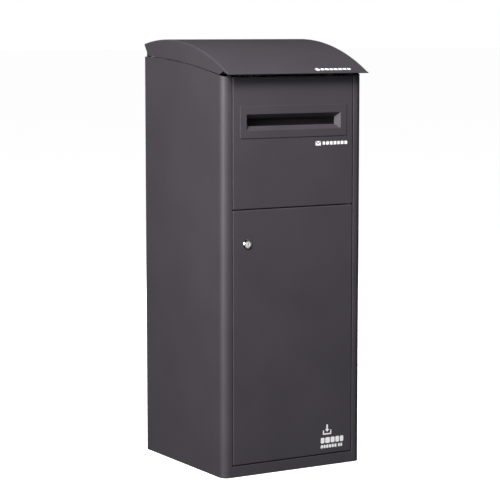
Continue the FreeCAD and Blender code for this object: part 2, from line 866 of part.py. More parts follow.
def lid_stop_studs():
    """Studs on the walls that run in the side plates' slots and end the lid's travel."""
    end = "sector_in - 3"
    base = rod("StopBase", "x", "2 * stop_radius", ("wall_in - 1.5", "stop_y", "stop_z"), "1.5")
    stud = rod("StopStud", "x", "stop_radius", (end, "stop_y", "stop_z"), "wall_in - (%s)" % end)
    mirrored_pair("lid_stop_studs", "LidStopStuds", fuse("LidStopStud", base, stud))


def lid_stop_sleeves():
    """Soft sleeves on the stop studs."""
    start = ("sector_in - 2", "stop_y", "stop_z")
    sleeve = ring("StopSleeve", "x", "sleeve_radius", "stop_radius", start, "wall_in - 1.5 - sector_in + 2")
    mirrored_pair("lid_stop_sleeves", "LidStopSleeves", sleeve)


# ---------------------------------------------------------------- lid
def lid_outline(name, inset, low, high):
    """Side view of the lid: nose of the visor, cheek, hinge notch and sloping rear edge."""
    slope = "(rear_top_z - rear_low_z) / (rear_top_y - rear_low_y)"
    lift = "(%s) * sqrt(1 + (%s) ^ 2)" % (inset, slope)
    top = "overall_height + 20"
    rear_top = "rear_top_y + (%s - rear_top_z) / (%s)" % (top, slope)
    corners = [
        ("hem_y", top),
        ("hem_y", "hem_z"),
        ("visor_side_y", "visor_side_z"),
        ("front + cheek_nose", "front_top + 2 + lid_seam"),
        ("front + cheek_nose", "front_top - 20"),
        ("hinge_y", "front_top - 20"),
        ("hinge_y", "side_apex + lid_seam"),
        ("rear_low_y - (%s) / (%s)" % (lift, slope), "rear_low_z"),
        ("%s - (%s) / (%s)" % (rear_top, lift, slope), top),
    ]
    return prism(name, "x", corners, low, high)


def lid_shell():
    """Hood pressed from one sheet: arched top, side cheeks, rear edge and hemmed visor."""
    outline = lid_outline("LidOutline", "0", "-half_width", "half_width")
    arched = common("LidArched", outline, lid_disc("LidArch", "lid_radius"))
    solid = cut("LidSeamed", arched, side_top_disc("LidSeam", "lid_seam"))
    doc.recompute()
    arch = value("lid_radius")

    def top_edge(edge):
        curve = edge.Curve
        return isinstance(curve, Part.Circle) and near(curve.Radius, arch)

    outside = rounded("LidOutside", solid, ("lid_edge_radius", top_edge))
    inner_outline = lid_outline("LidInnerOutline", "sheet", "-wall_in", "wall_in")
    drum = rod("LidInnerDrum", "x", "lid_inner", ("-half_width", "lid_centre", "lid_axis"), "body_width")
    extended = fuse(
        "LidInnerFull", inner_outline,
        box("LidInnerNose", ("-wall_in", "wall_in"), ("visor_front - 5", "front + cheek_nose"),
            ("front_top - 20", "overall_height + 10")),
        box("LidInnerBelly", ("-wall_in", "wall_in"), ("front + 5", "hinge_y"),
            ("front_top - 20", "overall_height + 10")),
    )
    inside = common("LidInside", extended, drum)
    notches = both_sides(
        "LidNotch", ("half_width - 17.5", "wall_in"), ("hinge_y", "rear_top_y + 5"),
        ("hinge_z - 10", "rear_top_z - 4"),
    )
    hem = rod("LidHem", "x", "hem_radius", ("-half_width", "hem_y", "hem_z"), "body_width")
    finished("lid_shell", fuse("LidShell", cut("LidHollow", outside, inside, *notches), hem))


def lid_front_channel():
    """Stiffening channel inside the lid's front, which rests on the buffers."""
    span = ("-channel_half", "channel_half")
    block = box(
        "ChannelBlock", span, ("channel_y", "channel_y + channel_width"), ("channel_low", "front_top + 60")
    )
    hollow = box(
        "ChannelHollow", ("-channel_half - 1", "channel_half + 1"),
        ("channel_y + sheet", "channel_y + channel_width - sheet"),
        ("channel_low + sheet", "front_top + 70"),
    )
    finished(
        "lid_front_channel",
        common("LidFrontChannel", cut("ChannelFolded", block, hollow), lid_disc("ChannelArch", "lid_seat")),
    )


def stop_slot():
    """The curved slot in a side plate that the stop stud runs in."""
    start_angle = "stop_angle - stop_margin"
    end_angle = "stop_angle + lid_open_angle + stop_margin"
    origin = ("sector_in - 3", "hinge_y", "hinge_z")
    band = ring("SlotBand", "x", "stop_reach + stop_half", "stop_reach - stop_half", origin, "10")
    far = "(sector_radius * 1.5)"
    corners = [("hinge_y", "hinge_z")] + [
        ("hinge_y - %s * cos(%s)" % (far, angle), "hinge_z - %s * sin(%s)" % (far, angle))
        for angle in (start_angle, end_angle)
    ]
    wedge = prism("SlotWedge", "x", corners, "sector_in - 3", "sector_in + 7")
    ends = [
        rod("SlotEnd%d" % index, "x", "stop_half",
            ("sector_in - 3", "hinge_y - stop_reach * cos(%s)" % angle,
             "hinge_z - stop_reach * sin(%s)" % angle), "10")
        for index, angle in enumerate((start_angle, end_angle))
    ]
    return fuse("StopSlot", common("SlotArc", band, wedge), *ends)


def sector_plates():
    """Quarter-circle plates under the lid's sides that close the gap beside a raised lid."""
    corners = [
        ("sector_back", "hinge_z - sector_radius - 5"),
        ("sector_back", "hinge_z - 8"),
        ("rear_low_y - 2 * sheet", "rear_low_z"),
        ("rear_top_y - 2 * sheet", "rear_top_z"),
        ("rear_top_y - 2 * sheet", "overall_height + 5"),
        ("chute_front - 5", "overall_height + 5"),
        ("chute_front - 5", "hinge_z - sector_radius - 5"),
    ]
    outline = prism("SectorOutline", "x", corners, "sector_in", "sector_out")
    quarter = rod("SectorQuarter", "x", "sector_radius", ("0", "hinge_y", "hinge_z"), "half_width")
    plate = common("SectorPlate", outline, quarter, lid_disc("SectorArch", "lid_seat"))
    band = ring(
        "SectorBand", "x", "lid_seat", "lid_seat - sector_sheet",
        ("sector_out - sector_flange", "lid_centre", "lid_axis"), "sector_flange",
    )
    strip = box("SectorStrip", ("0", "half_width"), ("hinge_y - sector_radius + 20", "hinge_y - 20"),
                ("front_top", "overall_height + 5"))
    blank = fuse("SectorBlank", plate, common("SectorFlange", band, strip))
    bush_hole = rod("SectorBushHole", "x", "bush_radius", ("sector_in - 1", "hinge_y", "hinge_z"), "4")
    right = cut("SectorPlateRight", blank, bush_hole, stop_slot(), *sector_rivet_holes())
    finished("sector_plate_right", right)
    finished("sector_plate_left", mirrored("SectorPlateLeft", right))


SECTOR_RIVET_HEIGHTS = ("drop_low + 30", "drop_low + 110", "drop_low + 190")


def sector_rivet_holes():
    return [
        rod("SectorRivetHole%d" % index, "x", "rivet_radius", ("sector_in - 5", "sector_back - 9", z), "9")
        for index, z in enumerate(SECTOR_RIVET_HEIGHTS)
    ]


def drop_plate():
    """Plate that hangs against the back when the lid is closed and bars the shaft when it is open."""
    span = ("-sector_in", "sector_in")
    face = ("sector_back - sector_sheet", "sector_back")
    height = ("drop_low", "drop_high")
    pieces = [
        box("DropFace", span, face, height),
        box("DropLip", span, ("sector_back - lip_length", "sector_back - sector_sheet"),
            ("drop_low", "drop_low + sector_sheet")),
    ]
    pieces += both_sides(
        "DropSide", ("sector_in - sector_sheet", "sector_in"),
        ("sector_back - side_flange", "sector_back - sector_sheet"), height,
    )
    holes = sector_rivet_holes()
    other = [mirrored("DropHoleOther%d" % index, hole) for index, hole in enumerate(holes)]
    finished("drop_plate", cut("DropPlate", fuse("DropFolded", *pieces), *(holes + other)))


def sector_rivets():
    """Rivets that hold the drop plate between the side plates."""
    rivets = []
    for index, z in enumerate(SECTOR_RIVET_HEIGHTS):
        y = "sector_back - 9"
        seat = ("sector_out", y, z)
        head = rod("SectorRivetHead%d" % index, "x", "rivet_head", seat, "rivet_head_height")
        shank = rod("SectorRivetShank%d" % index, "x", "rivet_radius", ("sector_in - sector_sheet", y, z),
                    "2 * sector_sheet")
        tail = rod("SectorRivetTail%d" % index, "x", "rivet_tail",
                   ("sector_in - sector_sheet - rivet_tail_length", y, z), "rivet_tail_length")
        rivets.append(fuse("SectorRivet%d" % index, head, shank, tail))
    rivets += [mirrored("SectorRivetOther%d" % index, rivet) for index, rivet in enumerate(rivets)]
    finished("sector_rivets", grouped("SectorRivets", rivets))


def lid_bushes():
    """Flanged bushes in the side plates, turning on the lid's pins."""
    end = ("bush_end", "hinge_y", "hinge_z")
    seat = ("sector_out", "hinge_y", "hinge_z")
    barrel = rod("LidBushBarrel", "x", "bush_radius", end, "sector_out - bush_end")
    flange = rod("LidBushFlange", "x", "bush_flange_radius", seat, "bush_flange")
    bore = rod("LidBushBore", "x", "pin_radius + running_clear", ("bush_end - 1", "hinge_y", "hinge_z"),
               "sector_out - bush_end + 3")
    mirrored_pair("lid_bushes", "LidBushes", cut("LidBush", fuse("LidBushWhole", barrel, flange), bore))


# ---------------------------------------------------------------- door
def door_skin():
    """Door pressed as a shallow tray, with the lock hole and two pivot holes."""
    outside, inside = tray("Door", "door_half", ("door_low", "door_high"), "door_depth")
    holes = [
        rod("DoorLockHole", "y", "barrel_radius", ("lock_x", "front - 1", "lock_z"), "4"),
        rod("DoorPinHoleLow", "z", "pivot_radius", ("pivot_x", "pivot_y", "door_low - 1"), "4"),
        rod("DoorPinHoleHigh", "z", "pivot_radius", ("pivot_x", "pivot_y", "door_high - 3"), "4"),
    ]
    finished("door_skin", cut("DoorSkin", outside, inside, *holes))


def door_stiffeners():
    """Two top-hat stiffeners welded up the inside of the door."""
    height = ("door_low + 14", "door_high - 14")
    rear = "front_in + hat_depth"
    hats = []
    for index, middle in enumerate(("-hat_spread", "hat_spread")):
        low = "%s - hat_width / 2" % middle
        high = "%s + hat_width / 2" % middle
        foot = ("front_in", "front_in + sheet")
        depth = ("front_in", rear)
        hats.append(fuse(
            "DoorHat%d" % index,
            box("HatFootLow%d" % index, ("%s - hat_foot" % low, low), foot, height),
            box("HatLegLow%d" % index, (low, "%s + sheet" % low), depth, height),
            box("HatWeb%d" % index, (low, high), ("%s - sheet" % rear, rear), height),
            box("HatLegHigh%d" % index, ("%s - sheet" % high, high), depth, height),
            box("HatFootHigh%d" % index, (high, "%s + hat_foot" % high), foot, height),
        ))
    finished("door_stiffeners", grouped("DoorStiffeners", hats))


def door_pivots():
    """Pins in the door's top and bottom folds and the bushes that they turn in."""
    pins = []
    bushes = []
    ends = (("Low", "door_low", 1, "sill_height"), ("High", "door_high", -1, "panel_low"))
    for name, fold, side, seat in ends:
        inner = "%s + (%d) * sheet" % (fold, side)
        tip = "%s - (%d) * pivot_reach" % (seat, side)
        head_end = "%s + (%d) * 3" % (inner, side)
        shank_low, shank_high = (tip, inner) if side > 0 else (inner, tip)
        head_low = inner if side > 0 else head_end
        shank = rod("PivotShank" + name, "z", "pivot_radius", ("pivot_x", "pivot_y", shank_low),
                    "(%s) - (%s)" % (shank_high, shank_low))
        head = rod("PivotHead" + name, "z", "pivot_head", ("pivot_x", "pivot_y", head_low), "3")
        pins.append(fuse("PivotPin" + name, shank, head))
        barrel_low = "%s - 6" % seat if side > 0 else seat
        flange_low = seat if side > 0 else "%s - pivot_flange" % seat
        foot = ("pivot_x", "pivot_y", barrel_low)
        barrel = rod("PivotBarrel" + name, "z", "pivot_bush_radius", foot, "6")
        flange = rod("PivotFlange" + name, "z", "pivot_bush_flange", ("pivot_x", "pivot_y", flange_low),
                     "pivot_flange")
        bore = rod("PivotBore" + name, "z", "pivot_radius + running_clear",
                   ("pivot_x", "pivot_y", "%s - 10" % seat), "20")
        bushes.append(cut("PivotBush" + name, fuse("PivotBushWhole" + name, barrel, flange), bore))
    finished("door_pivot_pins", grouped("DoorPivotPins", pins))
    finished("door_pivot_bushes", grouped("DoorPivotBushes", bushes))


# ---------------------------------------------------------------- lock
def lock_plate():
    """Doubler behind the lock."""
    plate = box(
        "LockPlateBlank", ("lock_x - lock_plate_half", "lock_x + lock_plate_half"),
        ("front_in", "lock_plate_back"), ("lock_z - lock_plate_half", "lock_z + lock_plate_half"),
    )
    hole = rod("LockPlateHole", "y", "barrel_radius", ("lock_x", "front_in - 1", "lock_z"), "4")
    finished("lock_plate", cut("LockPlate", plate, hole))


def lock_housing():
    """Cam lock's barrel with its tapered bezel on the door's face."""
    bezel = taper(
        "Bezel", "y", "bezel_face_radius", "bezel_radius", ("lock_x", "lock_face", "lock_z"), "bezel_height"
    )
    barrel = rod("Barrel", "y", "barrel_radius", ("lock_x", "front", "lock_z"), "barrel_back - front")
    bore = rod("BarrelBore", "y", "plug_radius + plug_clear", ("lock_x", "lock_face - 1", "lock_z"),
               "barrel_back - lock_face + 2")
    housing = cut("LockHousingSharp", fuse("LockHousingWhole", bezel, barrel), bore)
    face = value("lock_face")
    width = 2 * value("bezel_face_radius")

    def rim(edge):
        return near(edge.BoundBox.YMax, face) and near(edge.BoundBox.XLength, width)

    finished("lock_housing", rounded("LockHousing", housing, ("bezel_edge", rim)))


def lock_nut():
    """Large thin nut that clamps the lock to its plate."""
    seat = ("lock_x", "lock_plate_back", "lock_z")
    bar = hexagon("LockNutBar", "y", "lock_nut_radius", seat, "lock_nut_height")
    bore = rod("LockNutBore", "y", "barrel_radius", ("lock_x", "lock_plate_back - 1", "lock_z"), "6")
    finished("lock_nut", cut("LockNut", bar, bore))


def lock_plug():
    """Turning plug with its key slot and the square shoulder that drives the cam."""
    face = "lock_face + plug_recess"
    plug = rod("PlugCore", "y", "plug_radius", ("lock_x", face, "lock_z"), "barrel_back - (%s)" % face)
    post = rod("PlugPost", "y", "plug_radius - 1.5", ("lock_x", "barrel_back", "lock_z"), "post_length")
    key = box(
        "KeySlot", ("lock_x - key_width / 2", "lock_x + key_width / 2"),
        ("lock_face - 1", "%s + key_depth" % face),
        ("lock_z - key_height / 2", "lock_z + key_height / 2"),
    )
    thread = rod("PlugThread", "y", "screw_radius", ("lock_x", "cam_front - 6", "lock_z"), "7")
    finished("lock_plug", cut("LockPlug", fuse("PlugWhole", plug, post), key, thread))


def lock_cam():
    """Cam that reaches behind the stile's landing when the lock is turned."""
    thickness = ("cam_front", "cam_back")
    blade = box(
        "CamBlade", ("lock_x - cam_half", "lock_x + cam_half"), thickness, ("lock_z - cam_length", "lock_z")
    )
    boss = rod("CamBoss", "y", "cam_half", ("lock_x", "cam_front", "lock_z"), "cam_thick")
    hole = rod("CamHole", "y", "screw_radius", ("lock_x", "cam_front - 1", "lock_z"), "5")
    finished("lock_cam", cut("LockCam", fuse("CamBlank", blade, boss), hole))


def cam_screw():
    """Screw that holds the cam on the plug."""
    head = rod("CamScrewHead", "y", "screw_head", ("lock_x", "cam_back", "lock_z"), "2.4")
    tip = ("lock_x", "cam_front - 5", "lock_z")
    shank = rod("CamScrewShank", "y", "screw_radius", tip, "5 + cam_thick")
    finished("cam_screw", fuse("CamScrew", head, shank))


# ---------------------------------------------------------------- build, check and write
for build in (
    body_wrap, back_panel, base_plate, upper_front_panel, letter_plate, letter_plate_nuts, letter_chute,
    mid_rail, top_rail, lid_buffers, door_buffers, frame_rivets, hinge_brackets, lid_pins, lid_pin_clips,
    lid_stop_studs, lid_stop_sleeves, lid_shell, lid_front_channel, sector_plates, drop_plate, sector_rivets,
    lid_bushes, door_skin, door_stiffeners, door_pivots, lock_plate, lock_housing, lock_nut, lock_plug,
    lock_cam, cam_screw,
):
    build()
doc.recompute()

for item in doc.Objects:
    if "Invalid" in item.State or "Error" in item.State:
        raise RuntimeError(item.Name + " failed to build")
for part in PARTS:
    if part.Shape.isNull() or not part.Shape.isValid() or not part.Shape.Solids:
        raise RuntimeError(part.Label + " has no valid solid")
for part in PARTS:
    part.Shape.exportStep("parts/%s.step" % part.Label)
    extent = part.Shape.BoundBox
    print("%-22s solids %2d  volume %10.1f  x %.1f..%.1f  y %.1f..%.1f  z %.1f..%.1f" % (
        part.Label, len(part.Shape.Solids), part.Shape.Volume,
        extent.XMin, extent.XMax, extent.YMin, extent.YMax, extent.ZMin, extent.ZMax))
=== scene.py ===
"""Looks of a free-standing steel drop box for parcels and letters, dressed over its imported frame.

Sizes are in metres. X runs to the right, Y to the back and Z up from the floor.
"""

import json
import math

import bmesh
import bpy
from mathutils import Matrix, Vector
from mathutils.bvhtree import BVHTree


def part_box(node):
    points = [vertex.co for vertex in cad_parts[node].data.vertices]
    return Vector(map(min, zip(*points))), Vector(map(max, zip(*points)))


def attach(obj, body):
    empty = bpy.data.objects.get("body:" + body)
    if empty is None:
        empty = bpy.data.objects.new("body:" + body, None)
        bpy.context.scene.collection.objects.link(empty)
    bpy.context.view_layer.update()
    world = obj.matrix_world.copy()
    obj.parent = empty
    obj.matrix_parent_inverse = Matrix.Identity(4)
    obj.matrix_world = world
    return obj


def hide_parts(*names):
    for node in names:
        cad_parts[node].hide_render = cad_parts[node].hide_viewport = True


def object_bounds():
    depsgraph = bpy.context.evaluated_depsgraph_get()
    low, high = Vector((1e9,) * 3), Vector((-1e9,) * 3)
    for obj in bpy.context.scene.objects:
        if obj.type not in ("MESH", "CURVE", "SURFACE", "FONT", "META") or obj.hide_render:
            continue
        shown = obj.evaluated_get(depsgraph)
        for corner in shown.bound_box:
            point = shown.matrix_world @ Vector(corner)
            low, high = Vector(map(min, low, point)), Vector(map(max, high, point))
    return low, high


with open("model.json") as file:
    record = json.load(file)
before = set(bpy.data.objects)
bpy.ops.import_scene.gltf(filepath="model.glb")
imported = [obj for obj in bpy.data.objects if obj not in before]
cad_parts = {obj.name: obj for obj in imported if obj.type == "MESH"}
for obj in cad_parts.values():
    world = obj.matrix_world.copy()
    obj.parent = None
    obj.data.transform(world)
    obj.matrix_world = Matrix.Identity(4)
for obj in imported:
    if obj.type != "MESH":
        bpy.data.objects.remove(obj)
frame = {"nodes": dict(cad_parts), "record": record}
cad_low, cad_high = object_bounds()

MM = 0.001
MIDDLE = (cad_low + cad_high) / 2

# The view: three-quarter from the left, a little above the middle of the box. The azimuth and
# elevation are in degrees and the lens in millimetres.
VIEW_AZIMUTH = -30.9
VIEW_ELEVATION = 6.6
VIEW_DISTANCE = 4.667
VIEW_LENS = 138.0
VIEW_LEFT = 0.011


# ---------------------------------------------------------------- studio
def towards(azimuth, elevation):
    """Unit vector from the box to a place at that azimuth and elevation, in degrees."""
    turn, rise = math.radians(azimuth), math.radians(elevation)
    level = math.cos(rise)
    return Vector((math.sin(turn) * level, -math.cos(turn) * level, math.sin(rise)))


def aim(item, place, target):
    """Puts a camera or light at a place, looking at the target."""
    item.location = place
    item.rotation_euler = (target - place).to_track_quat("-Z", "Y").to_euler()
    bpy.context.scene.collection.objects.link(item)


def camera():
    """Long lens far off, so that upright edges stay nearly parallel."""
    lens = bpy.data.cameras.new("camera")
    lens.lens = VIEW_LENS
    lens.clip_end = 200
    item = bpy.data.objects.new("camera", lens)
    out = towards(VIEW_AZIMUTH, VIEW_ELEVATION)
    left = out.cross(Vector((0, 0, 1))).normalized()
    target = MIDDLE + left * VIEW_LEFT
    aim(item, target + out * VIEW_DISTANCE, target)
    bpy.context.scene.camera = item


camera()


# ---------------------------------------------------------------- shader maths
class Value:
    """A socket's value, written in sums."""

    def __init__(self, owner, socket):
        self.owner = owner
        self.socket = socket

    def maths(self, operation, first, second):
        return self.owner.node("ShaderNodeMath", {"operation": operation}, {0: first, 1: second})

    def __add__(self, other):
        return self.maths("ADD", self, other)

    def __mul__(self, other):
        return self.maths("MULTIPLY", self, other)


class Nodes:
    """A node tree with one way to add a node."""

    def __init__(self, tree):
        self.tree = tree

    def node(self, kind, settings=None, inputs=None, output=0):
        """Adds a node: its settings first, then its sockets' values or links."""
        made = self.tree.nodes.new(kind)
        for name, setting in (settings or {}).items():
            if name == "stops":
                self.set_stops(made.color_ramp, setting)
            else:
                setattr(made, name, setting)
        for socket, given in (inputs or {}).items():
            self.feed(made.inputs[socket], given)
        return Value(self, made.outputs[output])

    def set_stops(self, ramp, stops):
        """Gives a ramp its (place, grey level) stops."""
        while len(ramp.elements) < len(stops):
            ramp.elements.new(0.5)
        for element, (place, level) in zip(ramp.elements, stops):
            element.position = place
            element.color = (level, level, level, 1)

    def feed(self, socket, given):
        """Links a value to a socket, or sets the socket's own number or colour."""
        if isinstance(given, Value):
            self.tree.links.new(given.socket, socket)
        elif isinstance(given, tuple) and len(given) == 3 and len(socket.default_value) == 4:
            socket.default_value = (*given, 1)
        else:
            socket.default_value = given


class Finish(Nodes):
    """One material with a single shader, and patterns in the piece's own place."""

    def __init__(self, name, **fixed):
        self.material = bpy.data.materials.new(name)
        self.material.use_nodes = True
        super().__init__(self.material.node_tree)
        self.shader = self.tree.nodes["Principled BSDF"]
        for socket, given in fixed.items():
            self.feed(self.shader.inputs[socket.replace("_", " ")], given)
        self.place = self.node("ShaderNodeTexCoord", output="Object")

    def give(self, socket, given):
        """Feeds one of the shader's sockets."""
        self.feed(self.shader.inputs[socket], given)

    def stretched(self, scale, turn=(0, 0, 0)):
        """The place, turned and stretched along the axes."""
        inputs = {"Vector": self.place, "Scale": scale, "Rotation": turn}
        return self.node("ShaderNodeMapping", None, inputs)

    def noise(self, size, detail=2.0, rough=0.5, place=None):
        """Soft noise from 0 to 1, with features of about that size."""
        return self.node(
            "ShaderNodeTexNoise",
            None,
            {"Vector": place or self.place, "Scale": 1 / size, "Detail": detail, "Roughness": rough},
        )

    def shaped(self, value, *stops):
        """The value put through a ramp of grey levels."""
        return self.node("ShaderNodeValToRGB", {"stops": stops}, {"Fac": value})

    def blend(self, factor, first, second):
        """A colour between two colours."""
        return self.node(
            "ShaderNodeMix", {"data_type": "RGBA"}, {0: factor, 6: first, 7: second}, output=2
        )

    def relief(self, height, depth, under=None):
        """Bumps of that depth in metres, on top of other bumps if given."""
        inputs = {"Height": height, "Distance": depth, "Strength": 1.0}
        if under is not None:
            inputs["Normal"] = under
        return self.node("ShaderNodeBump", None, inputs)


# ---------------------------------------------------------------- finishes
def tinted(colour, level):
    """The colour made lighter or darker."""
    return tuple(min(1.0, part * level) for part in colour)


def powder_coat(name, colour, roughness):
    """Satin powder coat: fine orange peel, faint clouding and a slightly uneven gloss."""
    coat = Finish(name, IOR=1.5)
    cloud = coat.noise(160 * MM, 3, 0.55)
    speck = coat.noise(1.1 * MM, 1)
    peel = coat.noise(3.4 * MM, 2, 0.45)
    tone = coat.shaped(cloud * 0.8 + speck * 0.2, (0.3, 0), (0.7, 1))
    coat.give("Base Color", coat.blend(tone, tinted(colour, 0.92), tinted(colour, 1.09)))
    coat.give("Roughness", coat.noise(30 * MM, 3, 0.6) * 0.08 + (roughness - 0.04))
    fine = coat.relief(speck, 0.012 * MM)
    coat.give("Normal", coat.relief(peel, 0.04 * MM, under=fine))
    return coat.material


CRYSTALS_PER_METRE = 95.0


def galvanised_sheet(name, colour):
    """Zinc-coated sheet with its frosty crystals."""
    sheet = Finish(name, Metallic=0.9)
    warp = sheet.noise(12 * MM)
    bent = sheet.node(
        "ShaderNodeVectorMath",
        {"operation": "SCALE"},
        {0: sheet.node("ShaderNodeCombineXYZ", None, {0: warp, 1: warp, 2: warp}), "Scale": 6 * MM},
    )
    place = sheet.node("ShaderNodeVectorMath", {"operation": "ADD"}, {0: sheet.place, 1: bent})
    crystal = sheet.node(
        "ShaderNodeTexVoronoi", None, {"Vector": place, "Scale": CRYSTALS_PER_METRE}, output="Color"
    )
    shade = sheet.node("ShaderNodeSeparateColor", None, {"Color": crystal})
    frost = sheet.noise(1.5 * MM, 3, 0.6)
    tone = shade * 0.75 + frost * 0.25
    sheet.give("Base Color", sheet.blend(tone, tinted(colour, 0.8), tinted(colour, 1.15)))
    sheet.give("Roughness", shade * 0.16 + 0.34)
    sheet.give("Normal", sheet.relief(frost, 0.01 * MM))
    return sheet.material


def plated_steel(name, colour):
    """Zinc plating: satin, with a faint drift between yellow and blue."""
    plate = Finish(name, Metallic=1.0)
    drift = plate.noise(9 * MM)
    grain = plate.noise(0.6 * MM, 2, 0.6)
    red, green, blue = colour
    yellowish = (red * 1.04, green, blue * 0.9)
    bluish = (red * 0.92, green * 0.98, blue * 1.06)
    tone = plate.shaped(drift, (0.35, 0), (0.65, 1))
    plate.give("Base Color", plate.blend(tone, yellowish, bluish))
    plate.give("Roughness", grain * 0.14 + 0.24)
    plate.give("Normal", plate.relief(grain, 0.004 * MM))
    return plate.material


def turned_steel(name, colour):
    """Bright steel with the fine rings of a lathe across its length."""
    steel = Finish(name, Metallic=1.0)
    rings = steel.noise(20 * MM, 2, 0.6, steel.stretched((60.0, 2.0, 2.0)))
    stain = steel.noise(6 * MM, 3)
    steel.give("Base Color", steel.blend(stain, tinted(colour, 0.85), colour))
    steel.give("Roughness", rings * 0.2 + 0.2)
    steel.give("Normal", steel.relief(rings, 0.006 * MM))
    return steel.material


def rivet_alloy(name, colour):
    """Tumbled aluminium, dull with small dents."""
    alloy = Finish(name, Metallic=1.0)
    dents = alloy.noise(1.3 * MM)
    haze = alloy.noise(5 * MM, 3)
    alloy.give("Base Color", alloy.blend(haze, tinted(colour, 0.85), colour))
    alloy.give("Roughness", haze * 0.15 + 0.32)
    alloy.give("Normal", alloy.relief(dents, 0.02 * MM))
    return alloy.material


def moulded_nylon(name, colour):
    """Moulded nylon: even, slightly waxy, with a fine spark-eroded grain."""
    nylon = Finish(name, IOR=1.53)
    grain = nylon.noise(0.5 * MM, 2, 0.6)
    flow = nylon.noise(8 * MM, 3)
    nylon.give("Base Color", nylon.blend(flow, tinted(colour, 0.9), colour))
    nylon.give("Roughness", grain * 0.12 + 0.42)
    nylon.give("Normal", nylon.relief(grain, 0.01 * MM))
    return nylon.material


def buffer_rubber(name, colour):
    """Matt black rubber with a bloom of dust."""
    rubber = Finish(name)
    bloom = rubber.noise(4 * MM, 4, 0.6)
    grain = rubber.noise(0.4 * MM, 2, 0.6)
    dust = rubber.shaped(bloom, (0.45, 0), (0.8, 1))
    rubber.give("Base Color", rubber.blend(dust, colour, tinted(colour, 1.9)))
    rubber.give("Roughness", bloom * 0.15 + 0.72)
    rubber.give("Normal", rubber.relief(grain, 0.02 * MM))
    return rubber.material


def polished_chrome(name, colour, roughness):
    """Bright plating with faint hairline scratches."""
    chrome = Finish(name, Metallic=1.0)
    hair = chrome.noise(10 * MM, 3, 0.6, chrome.stretched((40.0, 1.0, 6.0), (0, 0.6, 0)))
    smear = chrome.noise(4 * MM)
    scratches = chrome.shaped(hair, (0.62, 0), (0.72, 1))
    chrome.give("Base Color", chrome.blend(scratches * 0.3, colour, tinted(colour, 0.8)))
    chrome.give("Roughness", smear * 0.06 + scratches * 0.15 + (roughness - 0.03))
    chrome.give("Normal", chrome.relief(scratches, -0.002 * MM))
    return chrome.material


def printed_white(name):
    """White screen ink, a little thin in places, with a dry edge."""
    ink = Finish(name, IOR=1.45)
    thin = ink.noise(1.6 * MM, 3, 0.6)
    cover = ink.shaped(thin, (0.25, 0), (0.5, 1))
    ink.give("Base Color", ink.blend(cover, (0.68, 0.68, 0.69), (0.86, 0.86, 0.86)))
    ink.give("Roughness", thin * 0.15 + 0.45)
    ink.give("Normal", ink.relief(thin, 0.01 * MM))
    return ink.material


PAINT = (0.052, 0.047, 0.055)
PAINT_ROUGHNESS = 0.46
INK = printed_white("white_ink")
SLOT_FINISHES = {
    "body_paint": powder_coat("dark_powder_coat", PAINT, PAINT_ROUGHNESS),
    "lid_paint": powder_coat("dark_powder_coat_lid", PAINT, PAINT_ROUGHNESS),
    "galvanised": galvanised_sheet("galvanised_sheet", (0.55, 0.56, 0.58)),
    "plated": plated_steel("zinc_plating", (0.66, 0.66, 0.64)),
    "pin_steel": turned_steel("turned_steel", (0.58, 0.57, 0.56)),
    "rivet_metal": rivet_alloy("rivet_alloy", (0.66, 0.67, 0.68)),
    "nylon": moulded_nylon("black_nylon", (0.028, 0.028, 0.03)),
    "buffer_rubber": buffer_rubber("buffer_rubber", (0.014, 0.014, 0.014)),
    "lock_chrome": polished_chrome("lock_chrome", (0.78, 0.78, 0.79), 0.12),
    "plug_metal": polished_chrome("plug_nickel", (0.7, 0.69, 0.66), 0.22),
}


def dress_frame():
    """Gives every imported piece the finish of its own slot."""
    for part in frame["record"]["subparts"]:
        data = frame["nodes"][part["node"]].data
        data.materials.clear()
        data.materials.append(SLOT_FINISHES[part["material_slot"]])


dress_frame()


# ---------------------------------------------------------------- making pieces
def piece(name, mesh, finish, body):
    """Turns a finished bmesh into a piece that rides on a body."""
    data = bpy.data.meshes.new(name)
    mesh.to_mesh(data)
    mesh.free()
    data.materials.append(finish)
    item = bpy.data.objects.new(name, data)
    bpy.context.scene.collection.objects.link(item)
    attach(item, body)
    return item


def skin_of(node):
    """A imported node's surface, to lay flat pieces on."""
    data = frame["nodes"][node].data
    points = [v.co.copy() for v in data.vertices]
    faces = [list(polygon.vertices) for polygon in data.polygons]
    return BVHTree.FromPolygons(points, faces)


# ---------------------------------------------------------------- printed marks
INK_THICKNESS = 0.12 * MM
INK_SUNK = 0.03 * MM

# Marks are drawn flat in millimetres, cut into strips so that they can bend, hung in front of
# the surface and moved onto it from further off.
STRIP = 1.0
HUNG_AT = 50 * MM
MOVED_FROM = 100 * MM
RIGHTWARD = Vector((1, 0, 0))
BACKWARD = Vector((0, 1, 0))
UPWARD = Vector((0, 0, 1))


def rounded_bar(mesh, left, low, right, high, corner):
    """A flat bar with round corners, in millimetres on the mark's own plane."""
    middle = Matrix.Translation(((left + right) / 2, (low + high) / 2, 0))
    size = Matrix.Diagonal((right - left, high - low, 1, 1))
    made = bmesh.ops.create_grid(mesh, x_segments=1, y_segments=1, size=0.5, matrix=middle @ size)
    bmesh.ops.bevel(
        mesh,
        geom=made["verts"],
        offset=corner,
        segments=4,
        profile=0.5,
        affect="VERTICES",
        material=-1,
    )


def flat_shape(mesh, *corners):
    """A flat shape from a few corners."""
    mesh.faces.new([mesh.verts.new((x, y, 0)) for x, y in corners])


